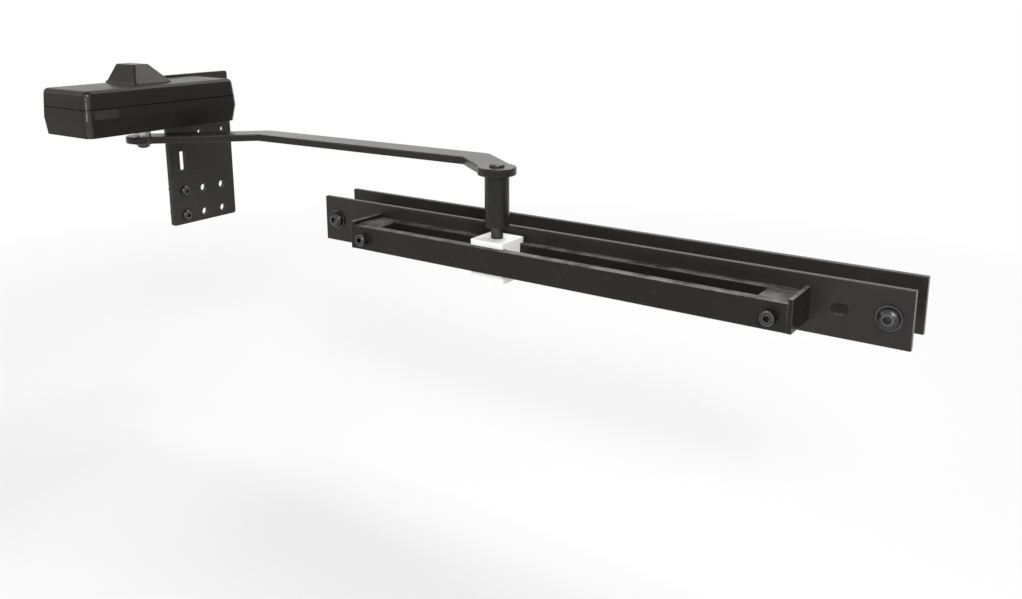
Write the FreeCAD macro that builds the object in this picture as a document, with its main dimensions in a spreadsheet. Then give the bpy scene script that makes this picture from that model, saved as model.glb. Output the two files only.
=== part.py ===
import FreeCAD, Part
import math
import os
import re

import Sketcher

# Slide arm closer, in millimetres.
# The origin is the middle of the post plate's bolt grid, on the plate's back face.
# X runs along the track, away from the post plate. Y runs from the cover to the clamp plate.
# Z is up.

doc = FreeCAD.newDocument("gate_closer")
vector = FreeCAD.Vector

# Places nearer together than this are the same
TOUCHING = 1e-6
# Straight steps along each flank of a tooth
FLANK_STEPS = 5

# Driving dimensions
SIZES = {
    "plate_thickness": 6.0,
    "plate_width": 98.0,
    "plate_drop": 27.0,
    "plate_rise": 163.7,
    "plate_band_height": 50.0,
    "plate_band_reach": 172.0,
    "plate_corner": 3.0,
    "grid_pitch": 29.0,
    "grid_rows": 31.6,
    "grid_hole": 9.0,
    "key_slot_width": 8.5,
    "key_slot_length": 24.0,
    "key_slot_height": 55.0,
    "key_slot_corner": 1.0,
    "spare_hole": 6.5,
    "spare_hole_height": 88.5,
    "spare_hole_pitch": 36.0,
    "back_to_spindle": 43.0,
    "grid_to_spindle": 113.0,
    "bore_height": 136.0,
    "bore_diameter": 34.0,
    "barrel_wall": 5.7,
    "housing_near": 81.0,
    "housing_far": 98.5,
    "housing_corner": 4.0,
    "plug_thickness": 12.0,
    "plug_key": 10.0,
    "plug_key_depth": 5.0,
    "cross_bore": 21.2,
    "bush_height": 6.0,
    "seal_height": 3.0,
    "shaft_diameter": 14.0,
    "running_gap": 0.05,
    "lower_journal": 18.0,
    "square_side": 11.0,
    "square_top_rise": 1.8,
    "tooth_module": 1.5,
    "tooth_count": 12.0,
    "pressure_angle": 25.0,
    "tooth_face": 14.0,
    "tooth_play": 0.12,
    "tooth_depth": 1.7,
    "tooth_tip": 1.35,
    "rack_relief": 0.4,
    "swing_degrees": 105.0,
    "piston_near_head": 14.0,
    "piston_far_head": 16.0,
    "slot_clearance": 1.5,
    "spring_wire": 3.4,
    "spring_outside": 31.0,
    "spring_turns": 6.5,
    "seat_gap": 0.3,
    "body_screw": 6.0,
    "body_screw_rise": 15.0,
    "body_screw_inset": 20.0,
    "body_screw_head": 12.0,
    "body_screw_sink": 3.0,
    "body_screw_length": 22.0,
    "valve_diameter": 6.0,
    "valve_length": 14.0,
    "valve_spread": 10.0,
    "valve_depth": 12.0,
    "valve_stand": 1.0,
    "cover_wall": 2.5,
    "cover_depth": 81.0,
    "cover_near": 92.0,
    "cover_far": 110.0,
    "cover_skirt": 3.0,
    "cover_crease_drop": 20.0,
    "cover_waist_drop": 31.5,
    "cover_top_draft": 2.5,
    "cover_crease_draft": 0.8,
    "cover_bottom_draft": 3.0,
    "cover_corner": 8.0,
    "crease_line_width": 0.6,
    "crease_line_depth": 0.5,
    "hump_rise": 21.0,
    "hump_shift": 3.0,
    "hump_base_length": 50.0,
    "hump_top_length": 19.0,
    "hump_base_depth": 55.0,
    "hump_top_depth": 34.0,
    "pad_length": 29.0,
    "pad_height": 9.6,
    "pad_inset": 10.0,
    "pad_drop": 21.0,
    "pad_recess": 0.6,
    "arm_thickness": 8.0,
    "arm_drop": 12.1,
    "arm_width": 33.0,
    "arm_end": 38.0,
    "arm_first_x": 96.0,
    "arm_first_y": 97.0,
    "arm_second_x": 402.0,
    "arm_second_y": 108.0,
    "arm_reach": 457.0,
    "arm_offset": 66.3,
    "arm_edge": 0.8,
    "spacer_diameter": 24.0,
    "spacer_length": 51.0,
    "pin_diameter": 12.0,
    "pin_head": 15.0,
    "pin_head_rise": 2.5,
    "hub_screw": 8.0,
    "hub_washer": 20.0,
    "hub_screw_length": 16.0,
    "slider_length": 38.0,
    "slider_width": 37.0,
    "slider_top": 6.0,
    "slider_foot": 9.0,
    "slide_gap": 0.3,
    "rail_height": 25.0,
    "rail_thickness": 10.0,
    "rail_space": 25.0,
    "rail_length": 464.0,
    "rail_drop": 13.7,
    "rail_edge": 0.6,
    "track_plate_overhang": 85.0,
    "track_plate_height": 50.0,
    "track_plate_thickness": 6.0,
    "track_plate_start": 252.3,
    "track_plate_top": 38.2,
    "stop_block": 28.0,
    "stop_flange": 4.0,
    "stop_rise": 4.0,
    "rail_screw": 8.0,
    "rail_screw_inset": 14.0,
    "rail_screw_drop": 13.0,
    "clamp_screw": 10.0,
    "clamp_screw_inset": 18.0,
    "clamp_gap": 40.0,
    "clamp_plate_thickness": 6.0,
    "clamp_washer": 21.0,
    "clamp_screw_length": 67.0,
    "clamp_nut": 16.0,
    "clamp_nut_height": 8.0,
    "washer_thickness": 2.0,
    "adjust_slot_length": 15.0,
    "adjust_slot_width": 10.0,
    "adjust_slot_inset": 57.0,
    "post_screw": 8.0,
    "post_screw_length": 30.0,
    "hole_play": 0.5,
    "cap_head_ratio": 1.6,
    "button_head_ratio": 1.75,
    "button_height_ratio": 0.55,
    "key_ratio": 0.75,
    "key_width_ratio": 0.7,
    "cap_edge": 0.8,
    "button_edge": 2.6,
    "cover_rim": 6.0,
    "hump_edge": 3.0,
    "pin_head_round": 2.0,
    "slider_corner": 1.5,
}

# Sizes that follow from the driving ones
PLACES = {
    "spindle_x": "plate_thickness + back_to_spindle",
    "spindle_y": "0 - grid_to_spindle",
    "barrel_radius": "bore_diameter / 2 + barrel_wall",
    "housing_bottom": "bore_height - barrel_radius",
    "housing_top": "bore_height + barrel_radius",
    "near_end": "spindle_y - housing_near",
    "far_end": "spindle_y + housing_far",
    "pitch_radius": "tooth_module * tooth_count / 2",
    "root_radius": "pitch_radius - tooth_depth",
    "tip_radius": "pitch_radius + tooth_module",
    "travel": "pitch_radius * swing_degrees * pi / 180",
    "slot_near": "spindle_y - tip_radius - slot_clearance - travel",
    "slot_far": "spindle_y + tip_radius + slot_clearance",
    "rack_root_x": "spindle_x - pitch_radius - tooth_depth",
    "piston_radius": "bore_diameter / 2 - running_gap",
    "piston_near": "slot_near - piston_near_head",
    "piston_far": "slot_far + piston_far_head",
    "far_plug": "far_end - plug_thickness",
    "band_end": "plate_width / 2 - plate_band_reach",
    "bush_top": "housing_top - bush_height",
    "seal_top": "housing_bottom + seal_height",
    "valve_x": "plate_thickness + valve_depth",
    "valve_end": "near_end - valve_stand",
    "body_screw_near": "band_end + body_screw_inset",
    "body_screw_far": "far_end - body_screw_inset",
    "cover_front": "plate_thickness + cover_depth",
    "cover_near_end": "spindle_y - cover_near",
    "cover_far_end": "spindle_y + cover_far",
    "cover_top": "housing_top + cover_wall",
    "cover_bottom": "housing_bottom - cover_skirt",
    "cover_crease": "cover_top - cover_crease_drop",
    "cover_waist": "cover_top - cover_waist_drop",
    "hump_middle": "(cover_near_end + cover_far_end) / 2 + hump_shift",
    "hump_top": "cover_top + hump_rise",
    "arm_top": "housing_bottom - arm_drop",
    "arm_bottom": "arm_top - arm_thickness",
    "pin_x": "spindle_x + arm_reach",
    "pin_y": "spindle_y + arm_offset",
    "rail_top": "track_plate_top - rail_drop",
    "rail_bottom": "rail_top - rail_height",
    "slider_ledge": "rail_top + slide_gap",
    "slider_head": "slider_ledge + slider_top",
    "slider_sole": "rail_bottom - slide_gap - slider_foot",
    "space_front": "pin_y - rail_space / 2",
    "space_back": "pin_y + rail_space / 2",
    "rail_front_face": "space_front - rail_thickness",
    "track_face": "space_back + rail_thickness",
    "track_back": "track_face + track_plate_thickness",
    "track_plate_length": "rail_length + track_plate_overhang * 2",
    "track_end": "track_plate_start + track_plate_length",
    "track_bottom": "track_plate_top - track_plate_height",
    "track_middle": "track_plate_top - track_plate_height / 2",
    "rail_start": "track_plate_start + track_plate_overhang",
    "rail_end": "rail_start + rail_length",
    "rail_screw_height": "rail_top - rail_screw_drop",
    "clamp_face": "track_back + clamp_gap",
    "clamp_back": "clamp_face + clamp_plate_thickness",
}

sheet = doc.addObject("Spreadsheet::Sheet", "Sizes")
for row, (alias, size) in enumerate(SIZES.items(), start=1):
    sheet.set(f"A{row}", alias)
    sheet.set(f"B{row}", str(size))
    sheet.setAlias(f"B{row}", alias)
doc.recompute()


def link(text):
    """An expression in which each named size points at the sheet that holds it."""

    def point(match):
        word = match.group(0)
        if word in SIZES:
            return "Sizes." + word
        if word in PLACES:
            return "Places." + word
        return word

    return re.sub(r"[a-z]+(?:_[a-z]+)*", point, text)


places = doc.addObject("Spreadsheet::Sheet", "Places")
for row, (alias, formula) in enumerate(PLACES.items(), start=1):
    places.set(f"A{row}", alias)
    places.set(f"B{row}", "=" + link(formula).replace("Places.", ""))
    places.setAlias(f"B{row}", alias)
doc.recompute()


def value(name):
    """A named size as a number, for shapes that Part builds directly."""
    return float((sheet if name in SIZES else places).get(name))


def bind(item, properties):
    for name, text in properties.items():
        item.setExpression(name, link(text))
    return item


AXIS_TURNS = {
    "x": FreeCAD.Rotation(vector(0, 1, 0), 90),
    "y": FreeCAD.Rotation(vector(1, 0, 0), -90),
    "z": FreeCAD.Rotation(),
}


def set_place(item, x, y, z):
    return bind(item, {"Placement.Base.x": x, "Placement.Base.y": y, "Placement.Base.z": z})


def block(name, x, y, z, length, width, height):
    """A box from its low corner and its size along X, Y and Z."""
    item = doc.addObject("Part::Box", name)
    bind(item, {"Length": length, "Width": width, "Height": height})
    return set_place(item, x, y, z)


def rod(name, axis, x, y, z, radius, height):
    """A cylinder that starts at a point and runs along one axis."""
    item = doc.addObject("Part::Cylinder", name)
    item.Placement.Rotation = AXIS_TURNS[axis]
    bind(item, {"Radius": radius, "Height": height})
    return set_place(item, x, y, z)


def cone(name, axis, x, y, z, first, second, height):
    item = doc.addObject("Part::Cone", name)
    item.Placement.Rotation = AXIS_TURNS[axis]
    bind(item, {"Radius1": first, "Radius2": second, "Height": height})
    return set_place(item, x, y, z)


def hexagon(name, axis, x, y, z, across, height):
    """A six-sided prism, given its size across the flats."""
    item = doc.addObject("Part::Prism", name)
    item.Polygon = 6
    item.Placement.Rotation = AXIS_TURNS[axis]
    bind(item, {"Circumradius": f"({across}) / cos(30 deg) / 2", "Height": height})
    return set_place(item, x, y, z)


def join(name, *items):
    item = doc.addObject("Part::MultiFuse", name)
    item.Shapes = list(items)
    return item


def group(name, *items):
    """Separate solids of one kind that share a node."""
    item = doc.addObject("Part::Compound", name)
    item.Links = list(items)
    return item


def cut(name, base, *tools):
    item = doc.addObject("Part::Cut", name)
    item.Base = base
    item.Tool = tools[0] if len(tools) == 1 else join(name + "_tools", *tools)
    return item


def finished(name, shape):
    """A piece whose shape is made directly, kept in the document like the others."""
    item = doc.addObject("Part::Feature", name)
    item.Shape = shape
    return item


def edge_places(item, wanted, size):
    """The numbers of the edges that pass a test, with their size, for a fillet or a chamfer."""
    doc.recompute()
    edges = enumerate(item.Shape.Edges, start=1)
    return [(number, size, size) for number, edge in edges if wanted(edge)]


def soften(name, base, kind, size, wanted):
    item = doc.addObject("Part::" + kind, name)
    item.Base = base
    item.Edges = edge_places(base, wanted, value(size))
    return item


def runs_along(edge, axis):
    if not isinstance(edge.Curve, Part.Line):
        return False
    start = edge.Vertexes[0].Point
    finish = edge.Vertexes[-1].Point
    along = finish - start
    return abs(abs(getattr(along.normalize(), axis)) - 1) < TOUCHING


def sketch_on(body, role, offset=None):
    """A sketch on one of the body's own origin planes, moved along the plane's normal."""
    sketch = body.newObject("Sketcher::SketchObject", body.Name + "_sketch")
    plane = next(item for item in body.Origin.OriginFeatures if item.Role == role)
    sketch.AttachmentSupport = (plane, [""])
    sketch.MapMode = "FlatFace"
    if offset:
        bind(sketch, {"AttachmentOffset.Base.z": offset})
    return sketch


def outline(sketch, corners):
    """A closed outline through corners whose two sketch coordinates are named sizes."""
    first = sketch.GeometryCount
    count = len(corners)
    for index in range(count):
        turn = 2 * math.pi * index / count
        after = 2 * math.pi * (index + 1) / count
        start = vector(math.cos(turn), math.sin(turn), 0)
        finish = vector(math.cos(after), math.sin(after), 0)
        sketch.addGeometry(Part.LineSegment(start, finish), False)
    for index, corner in enumerate(corners):
        line = first + index
        follower = first + (index + 1) % count
        sketch.addConstraint(Sketcher.Constraint("Coincident", line, 2, follower, 1))
        for kind, text in zip(("DistanceX", "DistanceY"), corner):
            number = sketch.addConstraint(Sketcher.Constraint(kind, -1, 1, line, 1, 1.0))
            sketch.setExpression(f"Constraints[{number}]", link(text))


def hole(sketch, across, up, diameter):
    """A circle in a sketch, placed and sized by named values."""
    circle = Part.Circle(vector(1, 1, 0), vector(0, 0, 1), 1)
    index = sketch.addGeometry(circle, False)
    for kind, text in (("DistanceX", across), ("DistanceY", up)):
        number = sketch.addConstraint(Sketcher.Constraint(kind, -1, 1, index, 3, 1.0))
        sketch.setExpression(f"Constraints[{number}]", link(text))
    number = sketch.addConstraint(Sketcher.Constraint("Diameter", index, 1.0))
    sketch.setExpression(f"Constraints[{number}]", link(diameter))


def pad(body, sketch, length, reverse=False):
    item = body.newObject("PartDesign::Pad", body.Name + "_pad")
    item.Profile = sketch
    item.Reversed = reverse
    bind(item, {"Length": length})
    doc.recompute()
    return item


def pocket_through(body, sketch):
    """A cut through the whole piece, both ways from its sketch."""
    item = body.newObject("PartDesign::Pocket", body.Name + "_pocket")
    item.Profile = sketch
    item.Type = "ThroughAll"
    item.Midplane = True
    before = body.Shape.Volume
    doc.recompute()
    if body.Shape.Volume >= before:
        raise RuntimeError(body.Name + ": the pocket cuts nothing")
    return item


def along(axis, low, centre):
    """A point's three coordinates, from the one along an axis and the two across it."""
    return {"x": (low, *centre), "y": (centre[0], low, centre[1]), "z": (*centre, low)}[axis]


def screw(name, axis, centre, seat, side, size, length, style):
    """A socket screw: its head bears on seat and stands out on one side (1 or -1) along the axis."""
    tall = size if style == "cap" else f"{size} * button_height_ratio"
    wide = f"{size} * {style}_head_ratio / 2"
    depth = f"{tall} * key_ratio"
    head_low = seat if side > 0 else f"{seat} - {tall}"
    key_low = f"{seat} + {tall} - {depth}" if side > 0 else f"{seat} - {tall}"
    shank_low = f"{seat} - {length}" if side > 0 else seat
    head = rod(name + "_blank", axis, *along(axis, head_low, centre), wide, tall)
    doc.recompute()
    outer = side * getattr(head.Shape.BoundBox, f"{axis.upper()}{'Max' if side > 0 else 'Min'}")

    def rim(edge):
        return abs(side * getattr(edge.CenterOfMass, axis) - outer) < TOUCHING

    kind = "Chamfer" if style == "cap" else "Fillet"
    head = soften(name + "_head", head, kind, style + "_edge", rim)
    shank = rod(name + "_shank", axis, *along(axis, shank_low, centre), f"{size} / 2", length)
    socket = hexagon(
        name + "_socket", axis, *along(axis, key_low, centre), f"{size} * key_width_ratio", depth
    )
    return cut(name, join(name + "_whole", head, shank), socket)


def ring(name, axis, centre, low, outside, inside, height):
    """A washer, bush or tube, from its outer and inner diameters."""
    spot = along(axis, low, centre)
    outer = rod(name + "_outer", axis, *spot, f"{outside} / 2", height)
    inner = rod(name + "_inner", axis, *spot, f"{inside} / 2", height)
    return cut(name, outer, inner)


# Post plate: a flat steel plate with a leg that is screwed down and a band behind the closer
post_plate = doc.addObject("PartDesign::Body", "post_plate_blank")
plate_sketch = sketch_on(post_plate, "YZ_Plane")
outline(
    plate_sketch,
    [
        ("0 - plate_width / 2", "0 - plate_drop"),
        ("plate_width / 2", "0 - plate_drop"),
        ("plate_width / 2", "plate_rise"),
        ("band_end", "plate_rise"),
        ("band_end", "plate_rise - plate_band_height"),
        ("0 - plate_width / 2", "plate_rise - plate_band_height"),
    ],
)
plate_pad = pad(post_plate, plate_sketch, "plate_thickness")
corners = [f"Edge{n}" for n, edge in enumerate(plate_pad.Shape.Edges, 1) if runs_along(edge, "x")]
plate_corners = post_plate.newObject("PartDesign::Fillet", "post_plate_corners")
plate_corners.Base = (plate_pad, corners)
bind(plate_corners, {"Radius": "plate_corner"})
doc.recompute()
plate_holes = sketch_on(post_plate, "YZ_Plane")
for column in (-1, 0, 1):
    for row in (-1, 1):
        hole(plate_holes, f"grid_pitch * {column}", f"grid_rows / 2 * {row}", "grid_hole")
for place in (0, 1):
    hole(plate_holes, f"spare_hole_pitch * {place}", "spare_hole_height", "spare_hole")
pocket_through(post_plate, plate_holes)
key_slot = soften(
    "key_slot",
    block(
        "key_slot_blank", "0", "0 - grid_pitch - key_slot_width / 2",
        "key_slot_height - key_slot_length / 2", "plate_thickness", "key_slot_width",
        "key_slot_length",
    ),
    "Fillet", "key_slot_corner", lambda edge: runs_along(edge, "x"),
)

# Screws through the post plate's back into the housing, with sunk heads
BODY_SCREW_PLACES = [
    (across, f"bore_height + body_screw_rise * {side}")
    for across in ("body_screw_near", "body_screw_far")
    for side in (-1, 1)
]


def sunk_screw(name, centre):
    head = cone(
        name + "_cone", "x", "0", *centre, "body_screw_head / 2", "body_screw / 2",
        "body_screw_sink",
    )
    shank = rod(name + "_shank", "x", "0", *centre, "body_screw / 2", "body_screw_length")
    return join(name, head, shank)


def socketed(name, centre):
    """A sunk screw with the hexagon socket that turns it."""
    socket = hexagon(
        name + "_socket", "x", "0", *centre, "body_screw * key_width_ratio", "body_screw_sink"
    )
    return cut(name, sunk_screw(name + "_whole", centre), socket)


body_screw_holes = [
    sunk_screw(f"body_screw_hole_{n}", centre) for n, centre in enumerate(BODY_SCREW_PLACES)
]
post_plate_whole = cut("post_plate", post_plate, key_slot, *body_screw_holes)
body_screws = group(
    "body_screws",
    *[socketed(f"body_screw_{n}", centre) for n, centre in enumerate(BODY_SCREW_PLACES)],
)

# Screws in the first column of holes of the post plate
post_screws = group(
    "post_screws",
    *[
        screw(
            f"post_screw_{side + 1}", "x", ("0 - grid_pitch", f"grid_rows / 2 * {side}"),
            "plate_thickness", 1, "post_screw", "post_screw_length", "button",
        )
        for side in (-1, 1)
    ],
)

# Housing: an iron casting, a barrel for the piston on a block that stands on the plate
housing_length = "far_end - near_end"
housing_block = block(
    "housing_block", "plate_thickness", "near_end", "housing_bottom",
    "back_to_spindle", housing_length, "barrel_radius * 2",
)
housing_barrel = rod(
    "housing_barrel", "y", "spindle_x", "near_end", "bore_height", "barrel_radius", housing_length
)
housing_blank = join("housing_blank", housing_block, housing_barrel)
housing_cast = soften(
    "housing_cast", housing_blank, "Fillet", "housing_corner",
    lambda edge: runs_along(edge, "y") and edge.CenterOfMass.x < value("spindle_x") / 2,
)
VALVE_PLACES = {
    "valve_closing": ("valve_x", "bore_height + valve_spread"),
    "valve_latching": ("valve_x", "bore_height - valve_spread"),
}
housing = cut(
    "housing",
    housing_cast,
    rod("bore", "y", "spindle_x", "near_end", "bore_height", "bore_diameter / 2", housing_length),
    rod(
        "cross_hole", "z", "spindle_x", "spindle_y", "housing_bottom", "cross_bore / 2",
        "barrel_radius * 2",
    ),
    *[
        rod(
            f"housing_tapping_{n}", "x", "plate_thickness", *centre, "body_screw / 2",
            "body_screw_length - plate_thickness",
        )
        for n, centre in enumerate(BODY_SCREW_PLACES)
    ],
    *[
        rod(
            name + "_hole", "y", centre[0], "near_end", centre[1],
            "valve_diameter / 2 + running_gap", "valve_length + valve_stand",
        )
        for name, centre in VALVE_PLACES.items()
    ],
)


def plug(name, low, key_low):
    """A screwed plug that closes one end of the bore, with a hexagon recess."""
    spot = ("spindle_x", low, "bore_height")
    blank = rod(name + "_blank", "y", *spot, "bore_diameter / 2", "plug_thickness")
    recess = hexagon(
        name + "_recess", "y", "spindle_x", key_low, "bore_height", "plug_key", "plug_key_depth"
    )
    return cut(name, blank, recess)


near_plug = plug("near_plug", "near_end", "near_end")
far_plug = plug("far_plug", "far_plug", "far_end - plug_key_depth")


def valve(name, centre):
    """A speed valve: a slotted screw that turns in the housing's near end."""
    shank = rod(
        name + "_shank", "y", centre[0], "valve_end", centre[1], "valve_diameter / 2",
        "valve_length",
    )
    slot = block(
        name + "_slot", f"{centre[0]} - valve_diameter / 2", "valve_end",
        f"{centre[1]} - valve_stand / 2", "valve_diameter", "valve_stand", "valve_stand",
    )
    return cut(name, shank, slot)


valves = [valve(name, centre) for name, centre in VALVE_PLACES.items()]

# Bushes and seal in the cross bore
SPINDLE = ("spindle_x", "spindle_y")
TOP_INSIDE = "(shaft_diameter + running_gap * 2)"
LOWER_INSIDE = "(lower_journal + running_gap * 2)"
top_bush = ring("top_bush", "z", SPINDLE, "bush_top", "cross_bore", TOP_INSIDE, "bush_height")
bottom_bush = ring(
    "bottom_bush", "z", SPINDLE, "seal_top", "cross_bore", LOWER_INSIDE, "bush_height"
)
shaft_seal = ring(
    "shaft_seal", "z", SPINDLE, "housing_bottom", "cross_bore", LOWER_INSIDE, "seal_height"
)


def pitch_half_width():
    """Half a tooth's width on the pitch line, less the play."""
    return (math.pi * value("tooth_module") / 2 - value("tooth_play")) / 2


def tooth_prism(points, height):
    """A tooth with curved flanks: the points run up one flank, and the other mirrors it."""
    upper = [vector(x, y, 0) for x, y in points]
    lower = [vector(x, -y, 0) for x, y in points]
    flanks = []
    for side in (upper, lower):
        curve = Part.BSplineCurve()
        curve.interpolate(side[1:])
        flanks.append((side, curve.toShape()))
    tip_edge = Part.makeLine(lower[-1], upper[-1])
    root_edge = Part.makeLine(lower[0], upper[0])
    steps = [Part.makeLine(side[0], side[1]) for side, _ in flanks]
    edges = [*steps, *[curve for _, curve in flanks], tip_edge, root_edge]
    wire = Part.Wire(Part.__sortEdges__(edges))
    return Part.Face(wire).extrude(vector(0, 0, height))


def involute(angle):
    return math.tan(angle) - angle


def pinion_teeth():
    """Involute teeth round the spindle's axis, the first one pointing away from X."""
    pressure = math.radians(value("pressure_angle"))
    pitch = value("pitch_radius")
    base = pitch * math.cos(pressure)
    base_half_angle = pitch_half_width() / pitch + involute(pressure)
    root = value("shaft_diameter") / 2 - value("rack_relief")
    points = [(root * math.cos(base_half_angle), root * math.sin(base_half_angle))]
    for step in range(FLANK_STEPS + 1):
        radius = base + (value("tip_radius") - base) * step / FLANK_STEPS
        angle = base_half_angle - involute(math.acos(base / radius))
        points.append((radius * math.cos(angle), radius * math.sin(angle)))
    tooth = tooth_prism(points, value("tooth_face"))
    count = round(value("tooth_count"))
    middle = vector(0, 0, 0)
    turned = [tooth.copy() for _ in range(count)]
    for index, copy in enumerate(turned):
        copy.rotate(middle, vector(0, 0, 1), 180 + 360 * index / count)
    return turned


def spindle_square(low, height):
    """A square milled on the shaft, whose corners keep the shaft's round."""
    side = value("square_side")
    blank = Part.makeBox(side, side, height, vector(-side / 2, -side / 2, low))
    return blank.common(Part.makeCylinder(value("shaft_diameter") / 2, height, vector(0, 0, low)))


# Pinion spindle: shaft, wider lower journal, teeth and squares in one steel piece
def spindle_shape():
    centre = vector(value("spindle_x"), value("spindle_y"), 0)
    arm_top = value("arm_top")
    arm_bottom = value("arm_bottom")
    housing_top = value("housing_top")
    shaft = Part.makeCylinder(value("shaft_diameter") / 2, housing_top - arm_top, vector(0, 0, arm_top))
    journal_height = value("seal_top") + value("bush_height") - arm_top
    journal = Part.makeCylinder(value("lower_journal") / 2, journal_height, vector(0, 0, arm_top))
    foot = spindle_square(arm_bottom, value("arm_thickness"))
    head = spindle_square(housing_top, value("square_top_rise"))
    face_low = value("bore_height") - value("tooth_face") / 2
    root = Part.makeCylinder(value("root_radius"), value("tooth_face"), vector(0, 0, face_low))
    teeth = pinion_teeth()
    for tooth in teeth:
        tooth.translate(vector(0, 0, face_low))
    shape = shaft.multiFuse([journal, foot, head, root, *teeth]).removeSplitter()
    tapping = Part.makeCylinder(
        value("hub_screw") / 2, value("hub_screw_length") - value("washer_thickness"),
        vector(0, 0, arm_bottom),
    )
    shape = shape.cut(tapping)
    shape.translate(centre)
    return shape


pinion_spindle = finished("pinion_spindle", spindle_shape())


# Piston: a round steel bar with a slot for the pinion and a rack along one side of the slot
def piston_shape():
    radius = value("piston_radius")
    axis_x = value("spindle_x")
    middle = value("bore_height")
    near = value("piston_near")
    bar = Part.makeCylinder(
        radius, value("piston_far") - near, vector(axis_x, near, middle), vector(0, 1, 0)
    )
    slot_low_x = value("rack_root_x") - value("rack_relief")
    slot_high_x = axis_x + value("tip_radius") + value("slot_clearance")
    slot_near = value("slot_near")
    slot_far = value("slot_far")
    slot = Part.makeBox(
        slot_high_x - slot_low_x, slot_far - slot_near, radius * 2,
        vector(slot_low_x, slot_near, middle - radius),
    )
    bar = bar.cut(slot)
    pitch = math.pi * value("tooth_module")
    slope = math.tan(math.radians(value("pressure_angle")))
    half = pitch_half_width()
    tip = value("tooth_tip")
    deep = value("tooth_depth") + value("rack_relief")
    rack_face = (radius**2 - (axis_x - slot_low_x) ** 2) ** 0.5 - value("rack_relief")
    teeth = []
    spindle_y = value("spindle_y")
    first = math.ceil((slot_near - spindle_y) / pitch)
    last = math.floor((slot_far - spindle_y) / pitch)
    for number in range(first, last):
        centre = spindle_y + (number + 0.5) * pitch
        line_x = axis_x - value("pitch_radius")
        profile = [
            (line_x - deep, -half - slope * deep),
            (line_x + tip, -half + slope * tip),
            (line_x + tip, half - slope * tip),
            (line_x - deep, half + slope * deep),
        ]
        corners = [vector(x, centre + y, middle - rack_face) for x, y in profile]
        wire = Part.makePolygon([*corners, corners[0]])
        teeth.append(Part.Face(wire).extrude(vector(0, 0, rack_face * 2)))
    return bar.multiFuse(teeth).removeSplitter()


rack_piston = finished("rack_piston", piston_shape())


# Closing spring between the piston and the far plug
def spring_shape():
    wire = value("spring_wire")
    low = value("piston_far") + value("seat_gap") + wire / 2
    high = value("far_plug") - value("seat_gap") - wire / 2
    radius = (value("spring_outside") - wire) / 2
    pitch = (high - low) / value("spring_turns")
    helix = Part.makeHelix(pitch, high - low, radius)
    start_direction = vector(0, 2 * math.pi * radius, pitch)
    section = Part.Wire(Part.makeCircle(wire / 2, vector(radius, 0, 0), start_direction))
    coil = Part.Wire(helix).makePipeShell([section], True, True)
    coil.rotate(vector(), vector(1, 0, 0), -90)
    coil.translate(vector(value("spindle_x"), low, value("bore_height")))
    return coil


closing_spring = finished("closing_spring", spring_shape())


# Cover: a moulded shell, widest at its waist, with a fine line at a crease and a sloped hump on top
def slab(low, high):
    """A solid between two level rectangles, each given as height, x range and y range."""
    wires = []
    for height, (left, right), (near, far) in (low, high):
        corners = [
            vector(left, near, height),
            vector(right, near, height),
            vector(right, far, height),
            vector(left, far, height),
        ]
        wires.append(Part.makePolygon([*corners, corners[0]]))
    return Part.makeLoft(wires, True, True)


def cover_section(height, draft, back):
    """The cover's outline at a height, drawn in by the draft on its front and both ends."""
    return (
        height,
        (back, value("cover_front") - draft),
        (value("cover_near_end") + draft, value("cover_far_end") - draft),
    )


def with_round_corners(shape, radius, back):
    """The shape with the upright edges along its front rounded."""
    front = (back + value("cover_front")) / 2
    corners = [
        edge for edge in shape.Edges
        if edge.CenterOfMass.x > front
        and abs(edge.Vertexes[0].Z - edge.Vertexes[-1].Z) > value("crease_line_width") / 2
    ]
    return shape.makeFillet(radius, corners)


def cover_body(inset, back, low):
    """The cover's outside, or its hollow when inset by the wall."""
    top = value("cover_top") - inset
    sections = [
        cover_section(low, value("cover_bottom_draft") + inset, back),
        cover_section(value("cover_waist"), inset, back),
        cover_section(value("cover_crease"), value("cover_crease_draft") + inset, back),
        cover_section(top, value("cover_top_draft") + inset, back),
    ]
    slabs = [slab(lower, upper) for lower, upper in zip(sections, sections[1:])]
    shape = slabs[0].multiFuse(slabs[1:]).removeSplitter()
    shape = with_round_corners(shape, value("cover_corner") - inset, back)
    rim = [
        edge for edge in shape.Edges
        if abs(edge.BoundBox.ZMin - top) < TOUCHING and edge.CenterOfMass.x > back + TOUCHING
    ]
    return shape.makeFillet(value("cover_rim") - inset, rim)


def crease_line(back):
    """What is cut away for the fine line that runs round the cover at its crease."""
    half = value("crease_line_width") / 2
    depth = value("cover_crease_draft") + value("crease_line_depth")
    levels = (value("cover_crease") - half, value("cover_crease") + half)
    outside = slab(*[cover_section(height, -depth, back) for height in levels])
    inside = slab(*[cover_section(height, depth, back) for height in levels])
    return outside.cut(with_round_corners(inside, value("cover_corner") - depth, back))


def hump(inset, back, low):
    middle = value("hump_middle")
    spread = {
        low: (value("hump_base_depth"), value("hump_base_length") / 2),
        value("hump_top") - inset: (value("hump_top_depth"), value("hump_top_length") / 2),
    }
    sections = [
        (
            height,
            (back, value("plate_thickness") + depth - inset),
            (middle - half + inset, middle + half - inset),
        )
        for height, (depth, half) in spread.items()
    ]
    return slab(*sections)


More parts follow.
